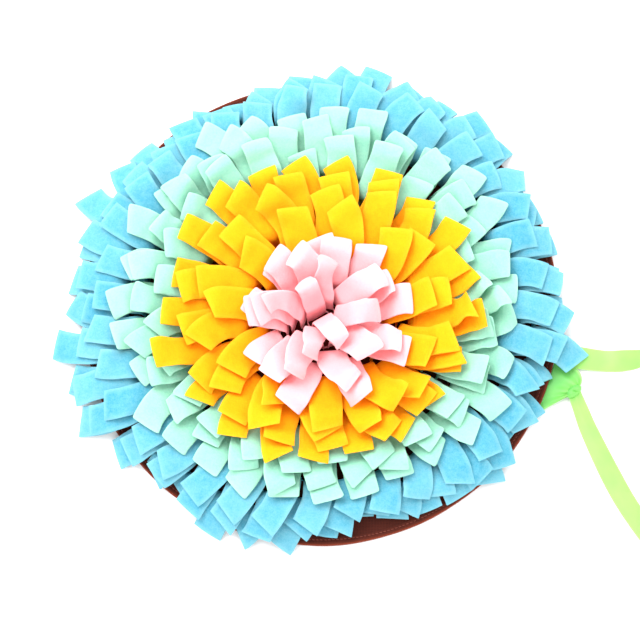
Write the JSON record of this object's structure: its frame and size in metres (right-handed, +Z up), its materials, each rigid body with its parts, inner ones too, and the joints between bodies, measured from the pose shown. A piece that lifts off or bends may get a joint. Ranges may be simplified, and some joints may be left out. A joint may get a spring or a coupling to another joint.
{
  "type": "snuffle mat",
  "caption": "Round snuffle mat: a thin cloth disc covered in concentric rings of cut felt and fleece strips that rise to a curled centre, with a ribbon tie at its rim.",
  "frame": {"origin": "centre of the round disc's underside, on the surface that the mat lies on", "axes": "+Z up out of the surface, through the strips; +X from the centre towards the side that carries the ribbon tie"},
  "size_m": [0.5877, 0.4757, 0.0748],
  "materials": {
    "base_brown": "plain woven cloth, matt",
    "felt_blue": "pressed felt, matt",
    "fleece_mint": "brushed fleece, soft and matt",
    "felt_yellow": "pressed felt, matt",
    "fleece_pink": "brushed fleece, soft and matt",
    "ribbon_green": "woven ribbon, slight sheen"
  },
  "bodies": {
    "root": {"base_disc": "base_brown", "blue_outer": "felt_blue", "blue_middle": "felt_blue", "blue_inner": "felt_blue", "mint_outer": "fleece_mint", "mint_middle": "fleece_mint", "mint_inner": "fleece_mint", "yellow_outer": "felt_yellow", "yellow_second": "felt_yellow", "yellow_third": "felt_yellow", "yellow_inner": "felt_yellow", "pink_outer": "fleece_pink", "pink_second": "fleece_pink", "pink_third": "fleece_pink", "pink_inner": "fleece_pink", "pink_heart": "fleece_pink", "tie_ribbon": "ribbon_green"}
  },
  "joints": []
}
